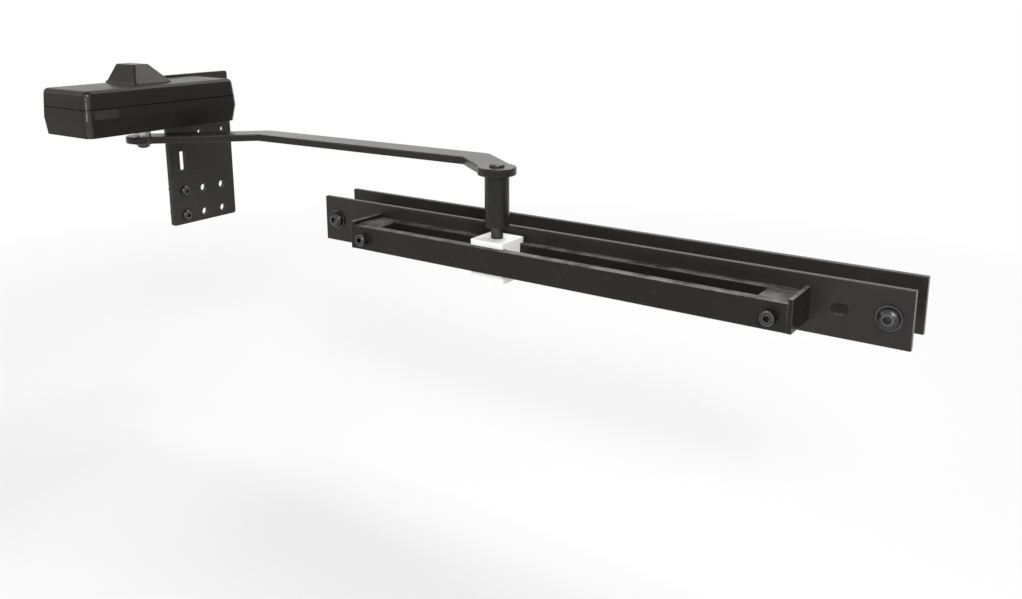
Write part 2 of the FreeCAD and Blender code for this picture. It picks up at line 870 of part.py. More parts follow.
def cover_shape():
    wall = value("cover_wall")
    back = value("plate_thickness")
    outer = cover_body(0.0, back, value("cover_bottom"))
    crown = hump(0.0, back, value("cover_top"))
    slopes = [
        edge for edge in crown.Edges
        if edge.CenterOfMass.z > value("cover_top") + 1 and edge.CenterOfMass.x > back + 1
    ]
    crown = crown.makeFillet(value("hump_edge"), slopes)
    whole = outer.fuse(crown).removeSplitter()
    hollow = cover_body(wall, back - wall, value("cover_bottom") - wall)
    hump_hollow = hump(wall, back - wall, value("cover_top") - wall - value("seat_gap"))
    shell = whole.cut(hollow).cut(hump_hollow)
    slope = math.atan(value("cover_crease_draft") / (value("cover_crease") - value("cover_waist")))
    pad_top = value("cover_top") - value("pad_drop")
    face_x = value("cover_front") - math.tan(slope) * (pad_top - value("cover_waist"))
    recess = Part.makeBox(
        wall, value("pad_length"), value("pad_height"),
        vector(-value("pad_recess"), 0, -value("pad_height")),
    )
    recess.rotate(vector(), vector(0, 1, 0), -math.degrees(slope))
    recess.translate(vector(face_x, value("cover_near_end") + value("pad_inset"), pad_top))
    return shell.cut(crease_line(back)).cut(recess).removeSplitter()


cover = finished("cover", cover_shape())


# Slide arm: flat bar cranked at both ends, with a square hole for the spindle
def arm_shape():
    path = Part.makePolygon(
        [
            vector(),
            vector(value("arm_first_x"), value("arm_first_y"), 0),
            vector(value("arm_second_x"), value("arm_second_y"), 0),
            vector(value("arm_reach"), value("arm_offset"), 0),
        ]
    )
    bar = Part.Face(path.makeOffset2D(value("arm_width") / 2))
    thickness = vector(0, 0, value("arm_thickness"))
    flat = bar.extrude(thickness)
    for end in (path.Vertexes[0].Point, path.Vertexes[-1].Point):
        flat = flat.fuse(Part.makeCylinder(value("arm_end") / 2, thickness.z, end))
    flat = flat.removeSplitter()
    level = (0, thickness.z)
    edges = [
        edge for edge in flat.Edges
        if any(abs(edge.BoundBox.ZMin - z) + abs(edge.BoundBox.ZMax - z) < 1e-5 for z in level)
    ]
    flat = flat.makeChamfer(value("arm_edge"), edges)
    side = value("square_side")
    square = Part.makeBox(side, side, thickness.z, vector(-side / 2, -side / 2, 0))
    eye = Part.makeCylinder(value("pin_diameter") / 2, thickness.z, path.Vertexes[-1].Point)
    flat = flat.cut(square).cut(eye)
    flat.translate(vector(value("spindle_x"), value("spindle_y"), value("arm_bottom")))
    return flat


slide_arm = finished("slide_arm", arm_shape())

hub_washer = ring(
    "hub_washer", "z", SPINDLE, "arm_bottom - washer_thickness", "hub_washer", "hub_screw",
    "washer_thickness",
)
hub_screw = screw(
    "hub_screw", "z", SPINDLE, "arm_bottom - washer_thickness", -1, "hub_screw",
    "hub_screw_length", "button",
)

# Pivot pin with its riveted head, and the spacer tube round it
PIN = ("pin_x", "pin_y")
pin_shank = rod(
    "pin_shank", "z", *PIN, "slider_sole", "pin_diameter / 2", "arm_top - slider_sole"
)
pin_blank = rod("pin_blank", "z", *PIN, "arm_top", "pin_head / 2", "pin_head_rise")
doc.recompute()
pin_crown = soften(
    "pin_crown", pin_blank, "Fillet", "pin_head_round",
    lambda edge: abs(edge.CenterOfMass.z - pin_blank.Shape.BoundBox.ZMax) < TOUCHING,
)
pivot_pin = join("pivot_pin", pin_shank, pin_crown)
spacer_tube = ring(
    "spacer_tube", "z", PIN, "arm_bottom - spacer_length", "spacer_diameter", "pin_diameter",
    "spacer_length",
)

# Slider: a nylon block with a ledge over the rails and a foot under them
slider_start = "pin_x - slider_length / 2"
slider_ledge = block(
    "slider_ledge_block", slider_start, "pin_y - slider_width / 2", "slider_ledge",
    "slider_length", "slider_width", "slider_top",
)
slider_foot = block(
    "slider_foot_block", slider_start, "pin_y - slider_width / 2", "slider_sole",
    "slider_length", "slider_width", "slider_foot",
)
slider_web = block(
    "slider_web", slider_start, "space_front + slide_gap", "slider_sole",
    "slider_length", "rail_space - slide_gap * 2", "slider_head - slider_sole",
)
slider_blank = join("slider_blank", slider_ledge, slider_foot, slider_web)
slider_round = soften(
    "slider_round", slider_blank, "Fillet", "slider_corner",
    lambda edge: runs_along(edge, "z") and abs(edge.CenterOfMass.y - value("pin_y"))
    > value("rail_space") / 2,
)
slider = cut(
    "slider_block",
    slider_round,
    rod(
        "slider_eye", "z", *PIN, "slider_sole", "pin_diameter / 2 + running_gap",
        "slider_head - slider_sole",
    ),
)


def bar(name, start, length, front, back, low, high, holes):
    """A flat bar along X: its section drawn across X and padded, then drilled along Y."""
    body = doc.addObject("PartDesign::Body", name)
    section = sketch_on(body, "YZ_Plane", start)
    outline(section, [(front, low), (back, low), (back, high), (front, high)])
    blank = pad(body, section, length)
    edges = [f"Edge{n}" for n, edge in enumerate(blank.Shape.Edges, 1) if runs_along(edge, "x")]
    chamfer = body.newObject("PartDesign::Chamfer", name + "_edges")
    chamfer.Base = (blank, edges)
    bind(chamfer, {"Size": "rail_edge"})
    doc.recompute()
    drilling = sketch_on(body, "XZ_Plane")
    for across, up, diameter in holes:
        hole(drilling, across, up, diameter)
    pocket_through(body, drilling)
    return body


RAIL_SCREWS = ("rail_start + rail_screw_inset", "rail_end - rail_screw_inset")
CLAMP_SCREWS = ("track_plate_start + clamp_screw_inset", "track_end - clamp_screw_inset")
rail_holes = [(x, "rail_screw_height", "rail_screw + hole_play") for x in RAIL_SCREWS]
clamp_holes = [(x, "track_middle", "clamp_screw + hole_play") for x in CLAMP_SCREWS]
tapped_holes = [(x, "rail_screw_height", "rail_screw") for x in RAIL_SCREWS]

# Track: a plate with two rails on edge before it, and a clamp plate behind it
front_rail = bar(
    "front_rail", "rail_start", "rail_length", "rail_front_face", "space_front",
    "rail_bottom", "rail_top", rail_holes,
)
back_rail = bar(
    "back_rail", "rail_start", "rail_length", "space_back", "track_face",
    "rail_bottom", "rail_top", rail_holes,
)
track_plate_bar = bar(
    "track_plate_bar", "track_plate_start", "track_plate_length", "track_face", "track_back",
    "track_bottom", "track_plate_top", [*clamp_holes, *tapped_holes],
)
clamp_plate = bar(
    "clamp_plate", "track_plate_start", "track_plate_length", "clamp_face", "clamp_back",
    "track_bottom", "track_plate_top", clamp_holes,
)
slot_middle = "track_end - adjust_slot_inset"
slot_straight = "(adjust_slot_length - adjust_slot_width)"
adjust_slot = join(
    "adjust_slot",
    block(
        "adjust_slot_middle", f"{slot_middle} - {slot_straight} / 2", "track_face",
        "track_middle - adjust_slot_width / 2", slot_straight, "track_plate_thickness",
        "adjust_slot_width",
    ),
    *[
        rod(
            f"adjust_slot_end_{side + 1}", "y", f"{slot_middle} + {slot_straight} / 2 * {side}",
            "track_face", "track_middle", "adjust_slot_width / 2", "track_plate_thickness",
        )
        for side in (-1, 1)
    ],
)
track_plate = cut("track_plate", track_plate_bar, adjust_slot)


def end_stop(name, flange_start, block_start, screw_x):
    """An end piece: a block between the rails and a flange across their ends."""
    flange = block(
        name + "_flange", flange_start, "rail_front_face", "rail_bottom", "stop_flange",
        "track_face - rail_front_face", "rail_height + stop_rise",
    )
    core = block(
        name + "_core", block_start, "space_front", "rail_bottom", "stop_block", "rail_space",
        "rail_height",
    )
    bore = rod(
        name + "_bore", "y", screw_x, "space_front", "rail_screw_height",
        "(rail_screw + hole_play) / 2", "rail_space",
    )
    return cut(name, join(name + "_whole", flange, core), bore)


left_stop = end_stop("left_stop", "rail_start - stop_flange", "rail_start", RAIL_SCREWS[0])
right_stop = end_stop("right_stop", "rail_end", "rail_end - stop_block", RAIL_SCREWS[1])

rail_screws = group(
    "rail_screws",
    *[
        screw(
            f"rail_screw_{n}", "y", (x, "rail_screw_height"), "rail_front_face", -1,
            "rail_screw", "track_back - rail_front_face", "cap",
        )
        for n, x in enumerate(RAIL_SCREWS)
    ],
)
clamp_screws = group(
    "clamp_screws",
    *[
        screw(
            f"clamp_screw_{n}", "y", (x, "track_middle"), "track_face - washer_thickness", -1,
            "clamp_screw", "clamp_screw_length", "button",
        )
        for n, x in enumerate(CLAMP_SCREWS)
    ],
)
clamp_washers = group(
    "clamp_washers",
    *[
        ring(
            f"clamp_washer_{n}_{side}", "y", (x, "track_middle"), low, "clamp_washer",
            "clamp_screw", "washer_thickness",
        )
        for n, x in enumerate(CLAMP_SCREWS)
        for side, low in (("front", "track_face - washer_thickness"), ("back", "clamp_back"))
    ],
)
clamp_nuts = group(
    "clamp_nuts",
    *[
        cut(
            f"clamp_nut_{n}",
            hexagon(
                f"clamp_nut_blank_{n}", "y", x, "clamp_back + washer_thickness", "track_middle",
                "clamp_nut", "clamp_nut_height",
            ),
            rod(
                f"clamp_nut_thread_{n}", "y", x, "clamp_back + washer_thickness",
                "track_middle", "clamp_screw / 2", "clamp_nut_height",
            ),
        )
        for n, x in enumerate(CLAMP_SCREWS)
    ],
)

PIECES = {
    "post_plate": post_plate_whole,
    "post_screws": post_screws,
    "body_screws": body_screws,
    "housing": housing,
    "near_plug": near_plug,
    "far_plug": far_plug,
    "top_bush": top_bush,
    "bottom_bush": bottom_bush,
    "shaft_seal": shaft_seal,
    "closing_spring": closing_spring,
    "rack_piston": rack_piston,
    "valve_closing": valves[0],
    "valve_latching": valves[1],
    "cover": cover,
    "pinion_spindle": pinion_spindle,
    "slide_arm": slide_arm,
    "hub_washer": hub_washer,
    "hub_screw": hub_screw,
    "pivot_pin": pivot_pin,
    "spacer_tube": spacer_tube,
    "slider_block": slider,
    "track_plate": track_plate,
    "front_rail": front_rail,
    "back_rail": back_rail,
    "left_stop": left_stop,
    "right_stop": right_stop,
    "rail_screws": rail_screws,
    "clamp_plate": clamp_plate,
    "clamp_screws": clamp_screws,
    "clamp_washers": clamp_washers,
    "clamp_nuts": clamp_nuts,
}

doc.recompute()
for item in doc.Objects:
    if {"Invalid", "Error"} & set(item.State):
        raise RuntimeError(f"{item.Name} did not build: {item.State}")
for name, item in PIECES.items():
    if item.Shape.isNull() or not item.Shape.isValid():
        raise RuntimeError(f"{name} has no valid shape")

os.makedirs("parts", exist_ok=True)
for name, item in PIECES.items():
    item.Label = name
    item.Shape.exportStep(f"parts/{name}.step")
    print(f"{name}: {len(item.Shape.Solids)} solids, {item.Shape.Volume:.0f} mm3")
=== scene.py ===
import math

import bmesh
import bpy
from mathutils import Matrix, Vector


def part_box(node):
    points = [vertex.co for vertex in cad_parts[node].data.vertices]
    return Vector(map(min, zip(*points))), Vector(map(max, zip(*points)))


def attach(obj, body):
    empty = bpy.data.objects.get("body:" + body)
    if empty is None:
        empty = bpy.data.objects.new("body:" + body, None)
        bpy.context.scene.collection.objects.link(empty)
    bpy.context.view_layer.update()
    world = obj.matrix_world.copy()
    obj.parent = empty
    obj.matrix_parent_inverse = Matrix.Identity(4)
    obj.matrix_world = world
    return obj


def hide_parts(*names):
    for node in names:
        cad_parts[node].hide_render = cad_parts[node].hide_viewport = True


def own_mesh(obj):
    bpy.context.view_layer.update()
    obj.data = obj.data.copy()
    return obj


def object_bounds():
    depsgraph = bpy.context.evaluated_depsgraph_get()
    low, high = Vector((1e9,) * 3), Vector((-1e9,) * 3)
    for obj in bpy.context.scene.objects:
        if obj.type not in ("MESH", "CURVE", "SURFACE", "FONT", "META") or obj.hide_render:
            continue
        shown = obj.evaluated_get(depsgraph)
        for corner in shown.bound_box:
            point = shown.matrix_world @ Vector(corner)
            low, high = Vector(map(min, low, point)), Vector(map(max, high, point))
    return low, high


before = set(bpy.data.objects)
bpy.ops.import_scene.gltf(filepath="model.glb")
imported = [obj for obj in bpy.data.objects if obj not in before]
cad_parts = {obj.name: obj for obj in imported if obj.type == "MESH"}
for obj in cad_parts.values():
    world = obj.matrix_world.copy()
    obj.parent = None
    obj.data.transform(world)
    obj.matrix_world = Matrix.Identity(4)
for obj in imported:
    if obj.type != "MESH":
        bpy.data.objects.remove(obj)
cad_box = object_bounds()
scene = bpy.context.scene


# Post plate: laser-cut steel, 6 mm thick, with a satin black powder coat. Its leg is screwed down
# through the holes at its foot, and the closer's body is bolted to the band at its top.
def new_finish(name):
    """An empty finish: the material, its node tree and its shader."""
    material = bpy.data.materials.new(name)
    material.use_nodes = True
    return material, material.node_tree, material.node_tree.nodes["Principled BSDF"]


def add(tree, kind, sockets=None, **settings):
    """A node with its settings. A socket given for an input is linked, and anything else is set."""
    node = tree.nodes.new(kind)
    for setting, choice in settings.items():
        setattr(node, setting, choice)
    for key, given in (sockets or {}).items():
        if isinstance(given, bpy.types.NodeSocket):
            tree.links.new(given, node.inputs[key])
        else:
            node.inputs[key].default_value = given
    return node


def grain(tree, scale, detail, stretch=(1.0, 1.0, 1.0)):
    """Noise fixed to the piece, with its scale in grains per metre."""
    place = add(tree, "ShaderNodeTexCoord").outputs["Object"]
    stretched = add(tree, "ShaderNodeMapping", {"Vector": place, "Scale": stretch}).outputs["Vector"]
    noise = add(
        tree, "ShaderNodeTexNoise", {"Vector": stretched, "Scale": scale, "Detail": detail}
    )
    return noise.outputs["Fac"]


def ranged(tree, amount, low, high, start, end):
    """The amount's stretch from low to high, carried over to the stretch from start to end."""
    sockets = {"Value": amount, "From Min": low, "From Max": high, "To Min": start, "To Max": end}
    return add(tree, "ShaderNodeMapRange", sockets).outputs["Result"]


def calc(tree, operation, first, second=0.0):
    """The result of one sum on one or two amounts."""
    return add(tree, "ShaderNodeMath", {0: first, 1: second}, operation=operation).outputs[0]


def tint(tree, share, first, second):
    """A colour between two others."""
    return add(tree, "ShaderNodeMix", {0: share, 6: first, 7: second}, data_type="RGBA").outputs[2]


# The mask for edges painted paler: partly abrasion, partly a painted highlight along each edge.
def worn_and_highlit_edges(tree, reach):
    """0 on a flat and 1 on a sharp edge, fading over the reach."""
    flat_match = 0.995
    edge_match = 0.86
    rounded = add(tree, "ShaderNodeBevel", {"Radius": reach}, samples=4).outputs["Normal"]
    flat = add(tree, "ShaderNodeNewGeometry").outputs["True Normal"]
    turn = add(tree, "ShaderNodeVectorMath", {0: rounded, 1: flat}, operation="DOT_PRODUCT")
    return ranged(tree, turn.outputs["Value"], flat_match, edge_match, 0.0, 1.0)


def coated(
    name, colour, scuff_and_edge_highlight, roughness, skin_scale, skin_depth, edge_wear_and_highlight, gloss=0.16, painted_top_light=0.0
):
    """Paint, plastic or rubber: fine skin, dusty haze, scuffs, and edges and tops painted paler."""
    haze_scale = 7.0
    scuff_scale = 210.0
    patch_scale = 55.0
    edge_reach = 0.0009
    scuff_share = 0.06
    scuff_dulling = 0.05
    top_light_colour = (0.2, 0.19, 0.18, 1.0)
    material, tree, shader = new_finish(name)
    shader.inputs["Specular IOR Level"].default_value = gloss
    haze = ranged(tree, grain(tree, haze_scale, 3.0), 0.35, 0.7, 0.0, 1.0)
    scuffs = ranged(tree, grain(tree, scuff_scale, 5.0, (0.3, 1.0, 1.0)), 0.62, 0.75, 0.0, 1.0)
    patchy = ranged(tree, grain(tree, patch_scale, 4.0), 0.35, 0.6, 0.15, 1.0)
    # Pale edges in patches: partly abrasion, partly a painted highlight.
    edge = calc(tree, "MULTIPLY", worn_and_highlit_edges(tree, edge_reach), patchy)
    dusty = [min(1.0, part * 1.2 + 0.002) for part in colour]
    body = tint(tree, haze, (*colour, 1.0), (*dusty, 1.0))
    scuffed = tint(tree, calc(tree, "MULTIPLY", scuffs, scuff_share), body, (*scuff_and_edge_highlight, 1.0))
    # The edge colour is laid on here: partly abrasion, partly a painted highlight.
    worn_and_edge_lit = tint(tree, calc(tree, "MULTIPLY", edge, edge_wear_and_highlight), scuffed, (*scuff_and_edge_highlight, 1.0))
    facing = add(tree, "ShaderNodeTexCoord").outputs["Normal"]
    upward = add(tree, "ShaderNodeSeparateXYZ", {"Vector": facing}).outputs["Z"]
    # Upward faces painted paler in patches: a painted top light.
    lit_top = calc(tree, "MULTIPLY", ranged(tree, upward, 0.8, 0.98, 0.0, painted_top_light), patchy)
    tree.links.new(tint(tree, lit_top, worn_and_edge_lit, top_light_colour), shader.inputs["Base Color"])
    sheen = ranged(tree, haze, 0.0, 1.0, roughness - 0.03, roughness + 0.04)
    duller = calc(tree, "ADD", sheen, calc(tree, "MULTIPLY", scuffs, scuff_dulling))
    tree.links.new(duller, shader.inputs["Roughness"])
    relief = add(
        tree, "ShaderNodeBump",
        {"Height": grain(tree, skin_scale, 2.0), "Distance": skin_depth, "Strength": 0.6},
    )
    tree.links.new(relief.outputs["Normal"], shader.inputs["Normal"])
    return material


def cleaned(node, name, join_flats=True):
    """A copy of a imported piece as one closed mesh, with each flat's triangles joined if wanted."""
    same_place = 1e-6
    same_flat = math.radians(1.0)
    clean = bmesh.new()
    clean.from_mesh(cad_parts[node].data)
    bmesh.ops.remove_doubles(clean, verts=clean.verts, dist=same_place)
    if join_flats:
        bmesh.ops.dissolve_limit(
            clean, angle_limit=same_flat, verts=clean.verts, edges=clean.edges
        )
    mesh = bpy.data.meshes.new(name)
    clean.to_mesh(mesh)
    clean.free()
    blank = bpy.data.objects.new(name + "_blank", mesh)
    scene.collection.objects.link(blank)
    return blank


def softened(node, name, rounding):
    """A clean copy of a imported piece, with its sharp edges rounded off."""
    rough = cleaned(node, name)
    bevel = rough.modifiers.new("rounding", "BEVEL")
    bevel.width = rounding
    bevel.segments = 2
    bevel.limit_method = "ANGLE"
    bevel.angle_limit = math.radians(35.0)
    bevel.use_clamp_overlap = False
    return settled(rough, name)


def settled(rough, name):
    """The plain mesh that an object's modifiers make, shaded smooth with its flats kept flat."""
    mesh = plain(rough)
    mesh.shade_smooth()
    mesh.set_sharp_from_angle(angle=math.radians(32.0))
    smooth = bpy.data.objects.new(name + "_smooth", mesh)
    scene.collection.objects.link(smooth)
    smooth.modifiers.new("flats", "WEIGHTED_NORMAL").keep_sharp = True
    flat_mesh = plain(smooth)
    flat_mesh.name = name
    piece = bpy.data.objects.new(name, flat_mesh)
    scene.collection.objects.link(piece)
    return piece


def plain(rough):
    """The mesh that an object's modifiers make. The object itself is removed."""
    graph = bpy.context.evaluated_depsgraph_get()
    mesh = bpy.data.meshes.new_from_object(rough.evaluated_get(graph))
    bpy.data.objects.remove(rough)
    return mesh


def stands_for(piece, node, body, material):
    """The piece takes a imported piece's place on its body, in its own finish."""
    piece.data.materials.clear()
    piece.data.materials.append(material)
    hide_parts(node)
    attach(piece, body)


plate_coat = coated(
    "satin_black_powder_coat", colour=(0.024, 0.021, 0.019), scuff_and_edge_highlight=(0.13, 0.125, 0.12),
    roughness=0.28, skin_scale=900.0, skin_depth=0.00005, edge_wear_and_highlight=0.6,
)
stands_for(
    softened("post_plate", "post_plate_sheet", rounding=0.0004), "post_plate", "closer",
    plate_coat,
)


# Post screws: two M8 button-head socket screws in black zinc, whose threads stand out behind the
# plate. The screws and nuts of the whole object come from trees like this one.
def metal(name, colour, edge_wear_and_highlight_colour, roughness, grain_scale, grain_depth, stretch=(1.0, 1.0, 1.0)):
    """Bare or plated metal: tool grain, clouding, edges paler from handling and painted highlight.
    """
    cloud_scale = 60.0
    edge_reach = 0.0007
    edge_wear_and_highlight_share = 0.85
    edge_polish = 0.1
    material, tree, shader = new_finish(name)
    clouds = ranged(tree, grain(tree, cloud_scale, 4.0), 0.35, 0.7, 0.0, 1.0)
    lines = grain(tree, grain_scale, 3.0, stretch)
    edge = worn_and_highlit_edges(tree, edge_reach)
    darker = [part * 0.7 for part in colour]
    body = tint(tree, clouds, (*colour, 1.0), (*darker, 1.0))
    # Edges painted paler: partly polish from handling, partly a painted highlight on each rim.
    worn_and_edge_lit = tint(tree, calc(tree, "MULTIPLY", edge, edge_wear_and_highlight_share), body, (*edge_wear_and_highlight_colour, 1.0))
    tree.links.new(worn_and_edge_lit, shader.inputs["Base Color"])
    shader.inputs["Metallic"].default_value = 1.0
    dull = calc(tree, "ADD", ranged(tree, lines, 0.3, 0.7, -0.06, 0.06), roughness)
    smoother = calc(tree, "SUBTRACT", dull, calc(tree, "MULTIPLY", edge, edge_polish))
    tree.links.new(smoother, shader.inputs["Roughness"])
    relief = add(
        tree, "ShaderNodeBump", {"Height": lines, "Distance": grain_depth, "Strength": 0.5}
    )
    tree.links.new(relief.outputs["Normal"], shader.inputs["Normal"])
    return material


def geometry_tree(name, sizes):
    """A geometry tree with named inputs: the tree, its inputs, and the socket it ends in."""
    tree = bpy.data.node_groups.new(name, "GeometryNodeTree")
    tree.interface.new_socket("Places", in_out="INPUT", socket_type="NodeSocketGeometry")
    for label, kind in sizes.items():
        tree.interface.new_socket(label, in_out="INPUT", socket_type="NodeSocket" + kind)
    tree.interface.new_socket("Made", in_out="OUTPUT", socket_type="NodeSocketGeometry")
    given = tree.nodes.new("NodeGroupInput").outputs
    return tree, given, tree.nodes.new("NodeGroupOutput").inputs["Made"]


def round_blank(tree, corners, rings, radius, height):
    """A standing cylinder, and how far up it each of its points is, from 0 to 1."""
    blank = add(
        tree, "GeometryNodeMeshCylinder",
        {"Vertices": corners, "Side Segments": rings, "Radius": radius, "Depth": height},
    ).outputs["Mesh"]
    place = add(tree, "GeometryNodeInputPosition").outputs[0]
    along = add(tree, "ShaderNodeSeparateXYZ", {0: place})
    up = calc(tree, "ADD", calc(tree, "DIVIDE", along.outputs["Z"], height), 0.5)
    return blank, along, up


def scaled_across(tree, blank, share, rise):
    """The blank with each point's distance from the axis scaled, and the whole lifted."""
    place = add(tree, "GeometryNodeInputPosition").outputs[0]
    spread = add(tree, "ShaderNodeCombineXYZ", {"X": share, "Y": share, "Z": 1.0}).outputs[0]
    narrowed = add(
        tree, "ShaderNodeVectorMath", {0: place, 1: spread}, operation="MULTIPLY"
    ).outputs["Vector"]
    lift = add(tree, "ShaderNodeCombineXYZ", {"Z": rise}).outputs[0]
    return add(
        tree, "GeometryNodeSetPosition",
        {"Geometry": blank, "Position": narrowed, "Offset": lift},
    ).outputs["Geometry"]


def carved(tree, operation, blank, tool):
    """The blank cut by a tool, or what the two share."""
    node = add(tree, "GeometryNodeMeshBoolean", operation=operation, solver="EXACT")
    if operation == "DIFFERENCE":
        tree.links.new(blank, node.inputs["Mesh 1"])
    else:
        tree.links.new(blank, node.inputs["Mesh 2"])
    tree.links.new(tool, node.inputs["Mesh 2"])
    return node.outputs["Mesh"]


def placed(tree, given, shape, ending):
    """The shape set on each place, turned to its direction, as plain geometry in its finish."""
    turn = add(
        tree, "FunctionNodeAlignRotationToVector", {"Vector": given["Direction"]}, axis="Z"
    ).outputs["Rotation"]
    points = add(tree, "GeometryNodeMeshToPoints", {"Mesh": given["Places"]}).outputs["Points"]
    copies = add(
        tree, "GeometryNodeInstanceOnPoints",
        {"Points": points, "Instance": shape, "Rotation": turn},
    ).outputs["Instances"]
    made = add(tree, "GeometryNodeRealizeInstances", {"Geometry": copies}).outputs["Geometry"]
    dressed = add(
        tree, "GeometryNodeSetMaterial", {"Geometry": made, "Material": given["Finish"]}
    ).outputs["Geometry"]
    tree.links.new(dressed, ending)


def socket_screw_tree():
    """A socket screw: the head's seat is at the place, the head points in the direction."""
    head_corners = 192
    head_rings = 14
    knurl_foot = 0.1
    knurl_top = 0.82
    shank_corners = 36
    rings_per_pitch = 6.0
    runout_share = 0.04
    tip_share = 0.03
    thread_depth_share = 0.61
    tree, given, ending = geometry_tree(
        "socket_screw",
        {
            "Diameter": "Float", "Length": "Float", "Thread Length": "Float", "Pitch": "Float",
            "Head Diameter": "Float", "Head Height": "Float", "Crown": "Float",
            "Top Share": "Float", "Knurls": "Float", "Knurl Depth": "Float",
            "Key Width": "Float", "Key Depth": "Float", "Direction": "Vector",
            "Finish": "Material",
        },
    )
    height = given["Head Height"]
    head_radius = calc(tree, "DIVIDE", given["Head Diameter"], 2.0)
    head, along, up = round_blank(tree, head_corners, head_rings, head_radius, height)
    dome = calc(tree, "POWER", up, given["Crown"])
    crown = calc(tree, "SUBTRACT", 1.0, calc(
        tree, "MULTIPLY", dome, calc(tree, "SUBTRACT", 1.0, given["Top Share"])
    ))
    angle = calc(tree, "ARCTAN2", along.outputs["Y"], along.outputs["X"])
    half_knurls = calc(tree, "DIVIDE", given["Knurls"], 2.0)
    ridges = calc(
        tree, "ABSOLUTE", calc(tree, "SINE", calc(tree, "MULTIPLY", angle, half_knurls))
    )
    on_side = calc(
        tree, "MULTIPLY", calc(tree, "LESS_THAN", up, knurl_top),
        calc(tree, "GREATER_THAN", up, knurl_foot),
    )
    groove = calc(tree, "MULTIPLY", calc(tree, "MULTIPLY", ridges, given["Knurl Depth"]), on_side)
    head = scaled_across(
        tree, head, calc(tree, "SUBTRACT", crown, groove), calc(tree, "DIVIDE", height, 2.0)
    )
    key = add(
        tree, "GeometryNodeMeshCylinder",
        {
            "Vertices": 6,
            "Radius": calc(tree, "DIVIDE", given["Key Width"], math.sqrt(3.0)),
            "Depth": calc(tree, "MULTIPLY", given["Key Depth"], 2.0),
        },
    ).outputs["Mesh"]
    key_place = add(tree, "ShaderNodeCombineXYZ", {"Z": height}).outputs[0]
    key = add(
        tree, "GeometryNodeTransform", {"Geometry": key, "Translation": key_place}
    ).outputs["Geometry"]
    head = carved(tree, "DIFFERENCE", head, key)

    length = given["Length"]
    rings = calc(tree, "MULTIPLY", calc(tree, "DIVIDE", length, given["Pitch"]), rings_per_pitch)
    radius = calc(tree, "DIVIDE", given["Diameter"], 2.0)
    shank, along, up = round_blank(tree, shank_corners, rings, radius, length)
    angle = calc(tree, "ARCTAN2", along.outputs["Y"], along.outputs["X"])
    winding = calc(
        tree, "SUBTRACT", calc(tree, "DIVIDE", along.outputs["Z"], given["Pitch"]),
        calc(tree, "DIVIDE", angle, 2.0 * math.pi),
    )
    wave = calc(tree, "PINGPONG", calc(tree, "MULTIPLY", winding, 2.0), 1.0)
    reach = calc(tree, "DIVIDE", given["Thread Length"], length)
    runout = calc(tree, "SUBTRACT", reach, runout_share)
    cut_part = ranged(tree, up, runout, reach, 1.0, 0.0)
    depth = calc(
        tree, "DIVIDE", calc(tree, "MULTIPLY", given["Pitch"], thread_depth_share), radius
    )
    thread = calc(tree, "MULTIPLY", calc(tree, "MULTIPLY", wave, depth), cut_part)
    tip = calc(tree, "MULTIPLY", ranged(tree, up, 0.0, tip_share, 1.0, 0.0), depth)
    shank_share = calc(tree, "SUBTRACT", 1.0, calc(tree, "MAXIMUM", thread, tip))
    shank = scaled_across(tree, shank, shank_share, calc(tree, "DIVIDE", length, -2.0))
    whole = add(tree, "GeometryNodeJoinGeometry")
    tree.links.new(head, whole.inputs[0])
    tree.links.new(shank, whole.inputs[0])
    placed(tree, given, whole.outputs[0], ending)
    return tree


def grown(tree, name, places, sizes):
    """The plain mesh that a tree makes on some places, with its modifier gone."""
    points = bpy.data.meshes.new(name + "_places")
    points.from_pydata(places, [], [])
    seed = bpy.data.objects.new(name + "_seed", points)
    scene.collection.objects.link(seed)
    modifier = seed.modifiers.new(tree.name, "NODES")
    modifier.node_group = tree
    for item in tree.interface.items_tree:
        if item.in_out == "INPUT" and item.name in sizes:
            modifier[item.identifier] = sizes[item.name]
    return settled(seed, name)


def middle(node):
    """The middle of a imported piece's box."""
    low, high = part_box(node)
    return (low + high) / 2.0


black_zinc = metal(
    "black_zinc", colour=(0.06, 0.06, 0.063), edge_wear_and_highlight_colour=(0.42, 0.42, 0.43), roughness=0.34,
    grain_scale=1600.0, grain_depth=0.00002,
)
socket_screw = socket_screw_tree()
BUTTON = {"Crown": 3.2, "Top Share": 0.5, "Knurls": 0.0, "Knurl Depth": 0.0}
M8_BUTTON = {
    "Diameter": 0.008, "Pitch": 0.00125, "Head Diameter": 0.014, "Head Height": 0.0044,
    "Key Width": 0.0056, "Key Depth": 0.0033, **BUTTON,
}
plate_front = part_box("post_plate")[1].x
screws_low, screws_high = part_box("post_screws")
head_radius = M8_BUTTON["Head Diameter"] / 2.0
post_screw_places = [
    (plate_front, middle("post_screws").y, height)
    for height in (screws_low.z + head_radius, screws_high.z - head_radius)
]
post_screws = grown(
    socket_screw, "post_screw_pair", post_screw_places,
    {
        **M8_BUTTON, "Length": 0.0299, "Thread Length": 0.0225,
        "Direction": (1.0, 0.0, 0.0), "Finish": black_zinc,
    },
)
stands_for(post_screws, "post_screws", "closer", black_zinc)


# Closer body: an iron casting that holds the piston, with a steel plug screwed into each end of its
# bore, and four sunk screws that bolt it to the band. The cover hides all of it.
def keeps(node, material):
    """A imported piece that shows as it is, in its own finish."""
    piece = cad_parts[node]
    piece.data.materials.clear()
    piece.data.materials.append(material)


cast_iron = metal(
    "cast_iron", colour=(0.11, 0.11, 0.115), edge_wear_and_highlight_colour=(0.2, 0.2, 0.2), roughness=0.62,
    grain_scale=420.0, grain_depth=0.0003,
)
ground_steel = metal(
    "ground_steel", colour=(0.46, 0.46, 0.47), edge_wear_and_highlight_colour=(0.66, 0.66, 0.66), roughness=0.27,
    grain_scale=700.0, grain_depth=0.00001, stretch=(1.0, 12.0, 12.0),
)
keeps("housing", cast_iron)
keeps("near_plug", ground_steel)
keeps("far_plug", ground_steel)
keeps("body_screws", black_zinc)

